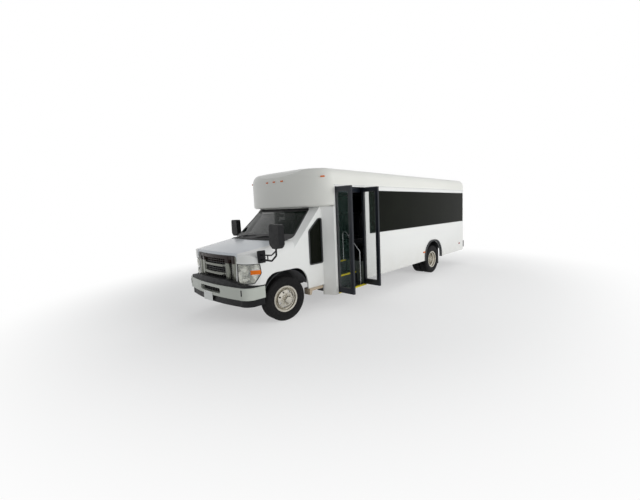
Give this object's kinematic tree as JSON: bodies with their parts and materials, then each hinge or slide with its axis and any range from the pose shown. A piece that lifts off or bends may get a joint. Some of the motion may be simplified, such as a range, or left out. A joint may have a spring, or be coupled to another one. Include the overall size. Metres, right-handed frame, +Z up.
{
  "type": "minibus on a cutaway van chassis",
  "caption": "White shuttle minibus on a cutaway van cab, with a raised cap, a dark window band, twin rear wheels and an open two-leaf entry door.",
  "frame": {"origin": "centre of the bounding box's base, on the ground", "axes": "+X forward, +Y to the vehicle's left where the entry door is, +Z up"},
  "size_m": [7.89, 3.1099, 2.645],
  "materials": {
    "chassis_paint": "satin",
    "white_paint": "gloss",
    "white_moulding": "gloss gelcoat",
    "floor_covering": "matte ribbed",
    "grille_plastic": "gloss",
    "lamp_clear": "clear lens",
    "bumper_paint": "satin",
    "glass_windscreen": "dark reflective",
    "glass_dark": "privacy tint",
    "glass_clear": "clear",
    "frame_black": "black powder coat",
    "bumper_black": "grained",
    "lamp_amber": "lens",
    "trim_rubber": "matte",
    "tyre": "matte",
    "wheel_cover": "polished stainless cover",
    "cast_parts": "as cast",
    "tank_black": "satin",
    "dash_plastic": "soft grained",
    "seat_fabric": "woven",
    "rail_metal": "polished"
  },
  "bodies": {
    "root": {"arch_trim": "trim_rubber", "cab_shell": "white_paint", "chassis_frame": "chassis_paint", "dashboard": "dash_plastic", "driver_seat": "seat_fabric", "engine_block": "cast_parts", "entry_steps": "floor_covering", "floor": "floor_covering", "front_axle": "chassis_paint", "front_bumper": "bumper_paint", "front_cap": "white_moulding", "fuel_tank": "tank_black", "grab_rails": "rail_metal", "grille": "grille_plastic", "headlamps": "lamp_clear", "left_side_wall": "white_paint", "marker_lamps": "lamp_amber", "mirrors": "bumper_black", "passenger_seats": "seat_fabric", "rear_axle": "chassis_paint", "rear_bumper": "bumper_black", "rear_wall": "white_paint", "right_side_wall": "white_paint", "roof": "white_moulding", "running_boards": "bumper_black", "side_windows": "glass_dark", "wheel_liners": "trim_rubber", "window_frames": "frame_black", "windscreen": "glass_windscreen"},
    "hood": {"hood": "white_paint"},
    "driver_door": {"driver_door": "white_paint", "driver_door_glass": "glass_windscreen", "door_mirror": "bumper_black"},
    "entry_leaf_front": {"entry_leaf_front": "frame_black", "entry_glass_front": "glass_clear"},
    "entry_leaf_rear": {"entry_leaf_rear": "frame_black", "entry_glass_rear": "glass_clear"},
    "rear_exit_door": {"rear_exit_door": "white_paint", "rear_exit_glass": "glass_dark"},
    "knuckle_left": {"knuckle_left": "cast_parts"},
    "knuckle_right": {"knuckle_right": "cast_parts"},
    "tie_rod": {"tie_rod": "tank_black"},
    "steering_wheel": {"steering_wheel": "dash_plastic"},
    "front_wheel_left": {"front_wheel_left": "wheel_cover", "front_tyre_left": "tyre"},
    "front_wheel_right": {"front_wheel_right": "wheel_cover", "front_tyre_right": "tyre"},
    "rear_wheels_left": {"rear_wheels_left": "wheel_cover", "rear_tyres_left": "tyre"},
    "rear_wheels_right": {"rear_wheels_right": "wheel_cover", "rear_tyres_right": "tyre"}
  },
  "joints": [
    {"name": "steer_left", "type": "hinge", "parent": "root", "child": "knuckle_left", "pos_m": [3.085, 0.74, 0.372], "axis": [0, 0, 1], "range_deg": [-26.5, 39.5]},
    {"name": "steer_right", "type": "hinge", "parent": "root", "child": "knuckle_right", "pos_m": [3.085, -0.74, 0.372], "axis": [0, 0, 1], "range_deg": [-26.5, 39.5]},
    {"name": "tie_rod_pivot", "type": "hinge", "parent": "knuckle_left", "child": "tie_rod", "pos_m": [2.93596, 0.75698, 0.259], "axis": [0, 0, 1], "range_deg": [-39.5, 26.5]},
    {"name": "steering_wheel_turn", "type": "hinge", "parent": "root", "child": "steering_wheel", "pos_m": [2.505, -0.48, 1.19], "axis": [-0.8192, 0, 0.5736], "range_deg": [-400, 600]},
    {"name": "front_left_spin", "type": "hinge", "parent": "knuckle_left", "child": "front_wheel_left", "pos_m": [3.10102, 0.88059, 0.372], "axis": [0.1132, 0.9936, 0], "continuous": true},
    {"name": "front_right_spin", "type": "hinge", "parent": "knuckle_right", "child": "front_wheel_right", "pos_m": [3.06898, -0.88059, 0.372], "axis": [0.1132, 0.9936, 0], "continuous": true},
    {"name": "rear_left_spin", "type": "hinge", "parent": "root", "child": "rear_wheels_left", "pos_m": [-1.741, 0.988, 0.372], "axis": [0, 1, 0], "continuous": true},
    {"name": "rear_right_spin", "type": "hinge", "parent": "root", "child": "rear_wheels_right", "pos_m": [-1.741, -0.988, 0.372], "axis": [0, 1, 0], "continuous": true},
    {"name": "entry_front_swing", "type": "hinge", "parent": "root", "child": "entry_leaf_front", "pos_m": [2.046, 1.196, 1.2], "axis": [0, 0, 1], "range_deg": [0, 90]},
    {"name": "entry_rear_swing", "type": "hinge", "parent": "root", "child": "entry_leaf_rear", "pos_m": [1.249, 1.196, 1.2], "axis": [0, 0, 1], "range_deg": [-90, 0]},
    {"name": "driver_door_swing", "type": "hinge", "parent": "root", "child": "driver_door", "pos_m": [2.69, -1.006, 1.1], "axis": [0, 0, 1], "range_deg": [0, 65]},
    {"name": "rear_exit_swing", "type": "hinge", "parent": "root", "child": "rear_exit_door", "pos_m": [-3.893, 0.414, 1.4], "axis": [0, 0, -1], "range_deg": [0, 100]},
    {"name": "hood_lift", "type": "hinge", "parent": "root", "child": "hood", "pos_m": [2.965, 0, 1.342], "axis": [0, -1, 0], "range_deg": [0, 50]}
  ],
  "couplings": [
    {"joint": "steer_right", "follows": "steer_left", "ratio": 1},
    {"joint": "tie_rod_pivot", "follows": "steer_left", "ratio": -1},
    {"joint": "steering_wheel_turn", "follows": "steer_left", "ratio": 14},
    {"joint": "entry_rear_swing", "follows": "entry_front_swing", "ratio": -1}
  ]
}
